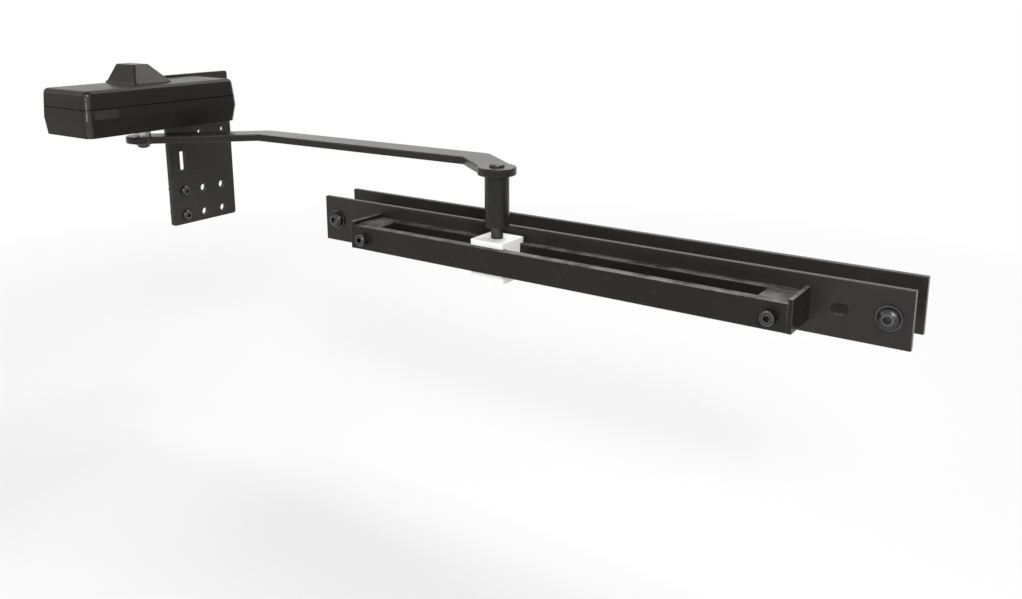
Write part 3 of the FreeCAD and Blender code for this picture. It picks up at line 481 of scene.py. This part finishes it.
# Bushes and seal: two sintered bronze bushes pressed into the cross bore carry the spindle, and a
# rubber lip seal under the lower one keeps the oil in.
sintered_bronze = metal(
    "sintered_bronze", colour=(0.5, 0.33, 0.15), edge_wear_and_highlight_colour=(0.75, 0.55, 0.3), roughness=0.38,
    grain_scale=2200.0, grain_depth=0.00004,
)
seal_rubber = coated(
    "seal_rubber", colour=(0.02, 0.02, 0.02), scuff_and_edge_highlight=(0.05, 0.05, 0.05), roughness=0.62,
    skin_scale=1500.0, skin_depth=0.00003, edge_wear_and_highlight=0.3,
)
keeps("top_bush", sintered_bronze)
keeps("bottom_bush", sintered_bronze)
keeps("shaft_seal", seal_rubber)


# Closing spring: round wire wound with one closed turn at each end, pressed between the piston and
# the far plug. It brings the arm back; the real one shortens towards the plug as the piston moves,
# and this coil is fixed.
def spring_tree():
    """A coil along the direction Y from the place, with a closed turn at each end."""
    tree, given, ending = geometry_tree(
        "closed_coil",
        {
            "Wire": "Float", "Outside": "Float", "Turns": "Float", "Height": "Float",
            "Direction": "Vector", "Finish": "Material",
        },
    )
    wire = given["Wire"]
    coil_radius = calc(tree, "DIVIDE", calc(tree, "SUBTRACT", given["Outside"], wire), 2.0)
    spiral = add(
        tree, "GeometryNodeCurveSpiral",
        {
            "Resolution": 40, "Rotations": given["Turns"], "Start Radius": coil_radius,
            "End Radius": coil_radius, "Height": 0.0,
        },
    ).outputs["Curve"]
    along = add(tree, "GeometryNodeSplineParameter").outputs["Factor"]
    turn = calc(tree, "MULTIPLY", along, given["Turns"])
    open_turns = calc(tree, "SUBTRACT", given["Turns"], 2.0)
    closed_height = calc(tree, "MULTIPLY", wire, 3.0)
    open_height = calc(tree, "SUBTRACT", given["Height"], closed_height)
    open_pitch = calc(tree, "DIVIDE", open_height, open_turns)
    first = calc(tree, "MULTIPLY", calc(tree, "MINIMUM", turn, 1.0), wire)
    past_first = calc(tree, "MAXIMUM", calc(tree, "SUBTRACT", turn, 1.0), 0.0)
    between = calc(tree, "MULTIPLY", calc(tree, "MINIMUM", past_first, open_turns), open_pitch)
    past_open = calc(tree, "SUBTRACT", calc(tree, "SUBTRACT", turn, 1.0), open_turns)
    last = calc(tree, "MULTIPLY", calc(tree, "MAXIMUM", past_open, 0.0), wire)
    rise = calc(tree, "ADD", calc(tree, "ADD", first, between), last)
    wire_radius = calc(tree, "DIVIDE", wire, 2.0)
    lift = add(
        tree, "ShaderNodeCombineXYZ", {"Z": calc(tree, "ADD", rise, wire_radius)}
    ).outputs[0]
    raised = add(
        tree, "GeometryNodeSetPosition", {"Geometry": spiral, "Offset": lift}
    ).outputs["Geometry"]
    section = add(
        tree, "GeometryNodeCurvePrimitiveCircle",
        {"Resolution": 14, "Radius": wire_radius},
    ).outputs["Curve"]
    coil = add(
        tree, "GeometryNodeCurveToMesh",
        {"Curve": raised, "Profile Curve": section, "Fill Caps": True},
    ).outputs["Mesh"]
    placed(tree, given, coil, ending)
    return tree


spring_steel = metal(
    "spring_steel", colour=(0.3, 0.3, 0.31), edge_wear_and_highlight_colour=(0.5, 0.5, 0.5), roughness=0.33,
    grain_scale=900.0, grain_depth=0.00001,
)
spring_low, spring_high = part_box("closing_spring")
spring_middle = middle("closing_spring")
SPRING_SEAT_GAP = 0.0002
coil_start = spring_low.y + SPRING_SEAT_GAP
closing_spring = grown(
    spring_tree(), "closing_spring_coil", [(spring_middle.x, coil_start, spring_middle.z)],
    {
        "Wire": 0.0034, "Outside": 0.0309, "Turns": 8.5,
        "Height": spring_high.y - coil_start - SPRING_SEAT_GAP, "Direction": (0.0, 1.0, 0.0),
        "Finish": spring_steel,
    },
)
stands_for(closing_spring, "closing_spring", "closer", spring_steel)
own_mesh(closing_spring)

# Piston, spindle and valves: hardened steel. The piston's rack turns the pinion on the spindle, and
# the two slotted valves in the housing's end set the closing and the latching speed.
keeps("rack_piston", ground_steel)
keeps("pinion_spindle", ground_steel)
keeps("valve_closing", ground_steel)
keeps("valve_latching", ground_steel)

# Cover: a black plastic moulding that slides over the body and snaps on. It has a crease above its
# widest line, a sloped hump over the spindle's head and a bare recessed pad by one end.
COVER_GLOSS = 0.08
CORNER_GLOSS = 0.5
CORNER_ROUGHNESS_SHARE = 0.5
CORNER_START = 0.2
CORNER_FULL = 0.4
# The crease band is painted near black with dimmed gloss: painted shade in the groove.
CREASE_PAINTED_SHADE = (0.002, 0.002, 0.002, 1.0)
CREASE_SHADE_GLOSS_SHARE = 0.2
PAD_COLOUR = (0.032, 0.031, 0.03, 1.0)
cover_plastic = coated(
    "moulded_black_plastic", colour=(0.013, 0.011, 0.0095), scuff_and_edge_highlight=(0.07, 0.068, 0.065),
    roughness=0.28, skin_scale=2600.0, skin_depth=0.00004, edge_wear_and_highlight=0.3, gloss=COVER_GLOSS,
)
cover_low, cover_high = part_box("cover")
HUMP_RISE = 0.021
CREASE_DROP = 0.02
CREASE_SHADE_HALF_WIDTH = 0.0005
PAD_DROP = 0.021
PAD_INSET = 0.01
PAD_LENGTH = 0.029
PAD_HEIGHT = 0.0096
FRONT_START = 0.08
FRONT_FULL = 0.081
cover_top = cover_high.z - HUMP_RISE
pad_middle_y = cover_low.y + PAD_INSET + PAD_LENGTH / 2.0
pad_middle_z = cover_top - PAD_DROP - PAD_HEIGHT / 2.0


def within(tree, amount, middle_value, half):
    """1 where the amount lies within the half on either side of the middle value."""
    return add(
        tree, "ShaderNodeMath", {0: amount, 1: middle_value, 2: half}, operation="COMPARE"
    ).outputs[0]


tree = cover_plastic.node_tree
shader = tree.nodes["Principled BSDF"]
spot = add(tree, "ShaderNodeTexCoord").outputs["Object"]
along = add(tree, "ShaderNodeSeparateXYZ", {"Vector": spot}).outputs
# The thin band along the crease that carries the painted shade.
groove = within(tree, along["Z"], cover_top - CREASE_DROP, CREASE_SHADE_HALF_WIDTH)
on_pad = calc(
    tree, "MULTIPLY", within(tree, along["Y"], pad_middle_y, PAD_LENGTH / 2.0),
    within(tree, along["Z"], pad_middle_z, PAD_HEIGHT / 2.0),
)
on_front = ranged(tree, along["X"], FRONT_START, FRONT_FULL, 0.0, 1.0)
on_pad = calc(tree, "MULTIPLY", on_pad, on_front)
skin = shader.inputs["Base Color"].links[0].from_socket
textured = tint(tree, on_pad, skin, PAD_COLOUR)
# Painted shade along the crease, over the pad's own paler tone.
tree.links.new(tint(tree, groove, textured, CREASE_PAINTED_SHADE), shader.inputs["Base Color"])
facing = add(tree, "ShaderNodeTexCoord").outputs["Normal"]
turned = add(tree, "ShaderNodeSeparateXYZ", {"Vector": facing}).outputs
both_ways = calc(tree, "ABSOLUTE", calc(tree, "MULTIPLY", turned["X"], turned["Y"]))
polished = ranged(tree, both_ways, CORNER_START, CORNER_FULL, 0.0, 1.0)
gloss = ranged(tree, polished, 0.0, 1.0, COVER_GLOSS, CORNER_GLOSS)
tree.links.new(
    calc(tree, "MULTIPLY", gloss, ranged(tree, groove, 0.0, 1.0, 1.0, CREASE_SHADE_GLOSS_SHARE)),
    shader.inputs["Specular IOR Level"],
)
dullness = shader.inputs["Roughness"].links[0].from_socket
tree.links.new(
    calc(
        tree, "MULTIPLY", dullness,
        ranged(tree, polished, 0.0, 1.0, 1.0, CORNER_ROUGHNESS_SHARE),
    ),
    shader.inputs["Roughness"],
)
stands_for(
    settled(cleaned("cover", "closer_cover", join_flats=False), "closer_cover"), "cover", "closer",
    cover_plastic,
)

# Slide arm: a flat steel bar cranked in its own plane at both ends, painted black, with a square
# hole that sits on the spindle's square, held from below by a washer and a screw.
arm_coat = coated(
    "black_arm_paint", colour=(0.014, 0.012, 0.011), scuff_and_edge_highlight=(0.18, 0.175, 0.17), roughness=0.22,
    skin_scale=1100.0, skin_depth=0.00004, edge_wear_and_highlight=0.9, gloss=0.2,
)
stands_for(
    softened("slide_arm", "cranked_arm", rounding=0.0005), "slide_arm", "arm", arm_coat
)
stands_for(
    softened("hub_washer", "hub_washer_ring", rounding=0.0003), "hub_washer", "arm",
    black_zinc,
)
SHANK_SHORTFALL = 0.0001
hub_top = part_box("hub_screw")[1].z
washer_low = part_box("hub_washer")[0].z
hub_screw = grown(
    socket_screw, "hub_button_screw", [(middle("hub_screw").x, middle("hub_screw").y, washer_low)],
    {
        **M8_BUTTON, "Length": hub_top - washer_low - SHANK_SHORTFALL, "Thread Length": 0.013,
        "Direction": (0.0, 0.0, -1.0), "Finish": black_zinc,
    },
)
stands_for(hub_screw, "hub_screw", "arm", black_zinc)

# Pivot pin and spacer: a turned pin riveted over the arm's far end, and the steel tube round it that
# holds the slider at the height of the track.
stands_for(
    softened("pivot_pin", "riveted_pin", rounding=0.0003), "pivot_pin", "arm", black_zinc
)
stands_for(
    softened("spacer_tube", "spacer_sleeve", rounding=0.0005), "spacer_tube", "arm",
    arm_coat,
)

# Slider: a white nylon block that turns on the pin and runs between the rails, with a ledge over
# them and a foot under them.
nylon = coated(
    "white_nylon", colour=(0.8, 0.8, 0.78), scuff_and_edge_highlight=(0.62, 0.61, 0.58), roughness=0.38,
    skin_scale=1400.0, skin_depth=0.00004, edge_wear_and_highlight=0.35,
)
nylon_inputs = nylon.node_tree.nodes["Principled BSDF"].inputs
nylon_inputs["Subsurface Weight"].default_value = 0.08
nylon_inputs["Subsurface Radius"].default_value = (0.003, 0.003, 0.003)
stands_for(
    softened("slider_block", "nylon_slider", rounding=0.0006), "slider_block", "slider",
    nylon,
)

# Track: a long steel plate with two flat rails on edge before it, closed at each end by a stop,
# all powder coated black and held together by two M8 cap screws.
# The rails' upward faces get the painted top light.
rail_coat = coated(
    "black_rail_coat", colour=(0.014, 0.012, 0.011), scuff_and_edge_highlight=(0.16, 0.155, 0.15), roughness=0.24,
    skin_scale=900.0, skin_depth=0.00005, edge_wear_and_highlight=0.9, painted_top_light=0.75,
)
stands_for(
    softened("track_plate", "track_backing_plate", rounding=0.0004), "track_plate", "track",
    plate_coat,
)
for node in ("front_rail", "back_rail", "left_stop", "right_stop"):
    bar = softened(node, node + "_bar", rounding=0.0004)
    stands_for(bar, node, "track", rail_coat)

rail_low, rail_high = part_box("rail_screws")
rail_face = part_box("front_rail")[0].y
CAP = {"Crown": 14.0, "Top Share": 0.88, "Knurls": 42.0, "Knurl Depth": 0.035}
cap_radius = 0.0064
cap_places = (rail_low.x + cap_radius, rail_high.x - cap_radius)
rail_screws = grown(
    socket_screw, "rail_cap_screws",
    [(x, rail_face, middle("rail_screws").z) for x in cap_places],
    {
        **CAP, "Diameter": 0.008, "Pitch": 0.00125, "Head Diameter": 2.0 * cap_radius,
        "Head Height": 0.008, "Key Width": 0.0056, "Key Depth": 0.006,
        "Length": rail_high.y - rail_face - SHANK_SHORTFALL, "Thread Length": 0.014,
        "Direction": (0.0, -1.0, 0.0), "Finish": black_zinc,
    },
)
stands_for(rail_screws, "rail_screws", "track", black_zinc)

# Clamp: a plain plate behind the track plate, pulled towards it by two M10 button-head screws,
# with a washer under each head and under each hexagon nut.
stands_for(
    softened("clamp_plate", "clamp_backing_plate", rounding=0.0004), "clamp_plate", "track",
    plate_coat,
)
stands_for(
    softened("clamp_washers", "clamp_washer_set", rounding=0.0003), "clamp_washers", "track",
    black_zinc,
)
clamp_low, clamp_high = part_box("clamp_screws")
clamp_head_radius = 0.00875
clamp_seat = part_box("clamp_washers")[0].y
clamp_places = (clamp_low.x + clamp_head_radius, clamp_high.x - clamp_head_radius)
clamp_screws = grown(
    socket_screw, "clamp_button_screws",
    [(x, clamp_seat, middle("clamp_screws").z) for x in clamp_places],
    {
        **BUTTON, "Diameter": 0.01, "Pitch": 0.0015, "Head Diameter": 2.0 * clamp_head_radius,
        "Head Height": 0.0055, "Key Width": 0.007, "Key Depth": 0.0041,
        "Length": clamp_high.y - clamp_seat - SHANK_SHORTFALL, "Thread Length": 0.026,
        "Direction": (0.0, -1.0, 0.0), "Finish": black_zinc,
    },
)
stands_for(clamp_screws, "clamp_screws", "track", black_zinc)


def hexagon_nut_tree():
    """A hexagon nut whose seat is at the place: a hexagon turned down at both faces, and bored."""
    barrel_corners = 96
    barrel_rings = 24
    bore_corners = 36
    chamfer_start = 0.72
    tree, given, ending = geometry_tree(
        "hexagon_nut",
        {
            "Across": "Float", "Height": "Float", "Bore": "Float", "Chamfer": "Float",
            "Direction": "Vector", "Finish": "Material",
        },
    )
    height = given["Height"]
    corner = calc(tree, "DIVIDE", given["Across"], math.sqrt(3.0))
    barrel, _, up = round_blank(tree, barrel_corners, barrel_rings, corner, height)
    twice_up = calc(tree, "MULTIPLY", up, 2.0)
    from_middle = calc(tree, "ABSOLUTE", calc(tree, "SUBTRACT", twice_up, 1.0))
    near_face = ranged(tree, from_middle, chamfer_start, 1.0, 0.0, 1.0)
    share = calc(tree, "SUBTRACT", 1.0, calc(tree, "MULTIPLY", near_face, given["Chamfer"]))
    half = calc(tree, "DIVIDE", height, 2.0)
    barrel = scaled_across(tree, barrel, share, half)
    past_both_faces = calc(tree, "MULTIPLY", height, 3.0)
    prism = add(
        tree, "GeometryNodeMeshCylinder",
        {"Vertices": 6, "Radius": corner, "Depth": past_both_faces},
    ).outputs["Mesh"]
    bore = add(
        tree, "GeometryNodeMeshCylinder",
        {
            "Vertices": bore_corners, "Radius": calc(tree, "DIVIDE", given["Bore"], 2.0),
            "Depth": past_both_faces,
        },
    ).outputs["Mesh"]
    blank = carved(tree, "INTERSECT", barrel, prism)
    placed(tree, given, carved(tree, "DIFFERENCE", blank, bore), ending)
    return tree


nut_low, nut_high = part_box("clamp_nuts")
clamp_nuts = grown(
    hexagon_nut_tree(), "clamp_hexagon_nuts",
    [(x, nut_low.y, middle("clamp_nuts").z) for x in clamp_places],
    {
        "Across": 0.016, "Height": nut_high.y - nut_low.y, "Bore": 0.01, "Chamfer": 0.12,
        "Direction": (0.0, 1.0, 0.0), "Finish": black_zinc,
    },
)
stands_for(clamp_nuts, "clamp_nuts", "track", black_zinc)


# Studio: a pale floor well below the object, which fades into a white backdrop, and four soft
# lamps. Rays that show the backdrop see it white, and all the others get a plain, even light.
def ray_share(tree):
    """1 where a ray shows the backdrop: seen directly, in a reflection or through glass."""
    path = add(tree, "ShaderNodeLightPath").outputs
    seen = calc(tree, "MAXIMUM", path["Is Camera Ray"], path["Is Glossy Ray"])
    return calc(tree, "MAXIMUM", seen, path["Is Transmission Ray"])


FLOOR_DROP = 0.24
FLOOR_HALF = 6.0
FADE_START = 0.5
FADE_END = 1.6
NEAR_GLOW = 0.3
PLAIN_LIGHT = 0.36
middle_place = tuple((cad_box[0] + cad_box[1]) / 2.0)
floor_mesh = bpy.data.meshes.new("studio_floor")
floor_height = cad_box[0].z - FLOOR_DROP
floor_mesh.from_pydata(
    [
        (-FLOOR_HALF, -FLOOR_HALF, floor_height), (FLOOR_HALF, -FLOOR_HALF, floor_height),
        (FLOOR_HALF, FLOOR_HALF, floor_height), (-FLOOR_HALF, FLOOR_HALF, floor_height),
    ],
    [], [(0, 1, 2, 3)],
)
studio_floor = bpy.data.objects.new("studio_floor", floor_mesh)
scene.collection.objects.link(studio_floor)
floor_paint, tree, shader = new_finish("pale_floor")
shader.inputs["Base Color"].default_value = (0.8, 0.8, 0.8, 1.0)
shader.inputs["Roughness"].default_value = 0.9
glow = add(tree, "ShaderNodeEmission", {"Color": (1.0, 1.0, 1.0, 1.0), "Strength": 1.0})
object_place = add(tree, "ShaderNodeTexCoord").outputs["Object"]
from_centre = add(
    tree, "ShaderNodeVectorMath", {0: object_place, 1: middle_place}, operation="DISTANCE"
)
fade = ranged(tree, from_centre.outputs["Value"], FADE_START, FADE_END, NEAR_GLOW, 1.0)
lit = add(
    tree, "ShaderNodeMixShader",
    {0: calc(tree, "MULTIPLY", ray_share(tree), fade), 1: shader.outputs[0], 2: glow.outputs[0]},
)
tree.links.new(lit.outputs[0], tree.nodes["Material Output"].inputs["Surface"])
floor_mesh.materials.append(floor_paint)

world = bpy.data.worlds.new("studio")
scene.world = world
world.use_nodes = True
tree = world.node_tree
background = tree.nodes["Background"]
background.inputs["Color"].default_value = (1.0, 1.0, 1.0, 1.0)
strength = ranged(tree, ray_share(tree), 0.0, 1.0, PLAIN_LIGHT, 1.0)
tree.links.new(strength, background.inputs["Strength"])


def lamp(name, place, aim, width, height, power):
    """A soft box that points at the aim."""
    light = bpy.data.lights.new(name, "AREA")
    light.shape = "RECTANGLE"
    light.size = width
    light.size_y = height
    light.energy = power
    holder = bpy.data.objects.new(name, light)
    holder.visible_camera = False
    holder.location = place
    holder.rotation_euler = (Vector(aim) - Vector(place)).to_track_quat("-Z", "Y").to_euler()
    scene.collection.objects.link(holder)


cover_corner = (0.05, -0.2, 0.15)
lamp("key_box", (1.7, -1.3, 1.1), middle_place, width=0.8, height=0.8, power=28.0)
lamp("fill_box", (-1.2, -1.2, 0.9), middle_place, width=1.2, height=1.2, power=8.0)
lamp("top_box", (0.3, 0.9, 1.4), middle_place, width=1.0, height=1.0, power=22.0)
lamp("edge_strip", (0.65, -1.3, 0.21), cover_corner, width=0.16, height=0.14, power=1.4)

# Camera: to the right of the object and a little above it, tilted down and shifted so that the
# object lies in the upper part of the picture.
TILT_DOWN = 12.71
TURN_LEFT = 34.23
camera = bpy.data.cameras.new("view_from_the_right")
camera.lens = 33.64
camera.sensor_width = 36.0
camera.shift_y = -0.09
camera.clip_start = 0.05
camera.clip_end = 50.0
eye = bpy.data.objects.new("view_from_the_right", camera)
eye.location = (1.0241, -0.7842, 0.264)
eye.rotation_euler = (math.radians(90.0 - TILT_DOWN), 0.0, math.radians(TURN_LEFT))
scene.collection.objects.link(eye)
scene.camera = eye
scene.view_settings.view_transform = "Standard"
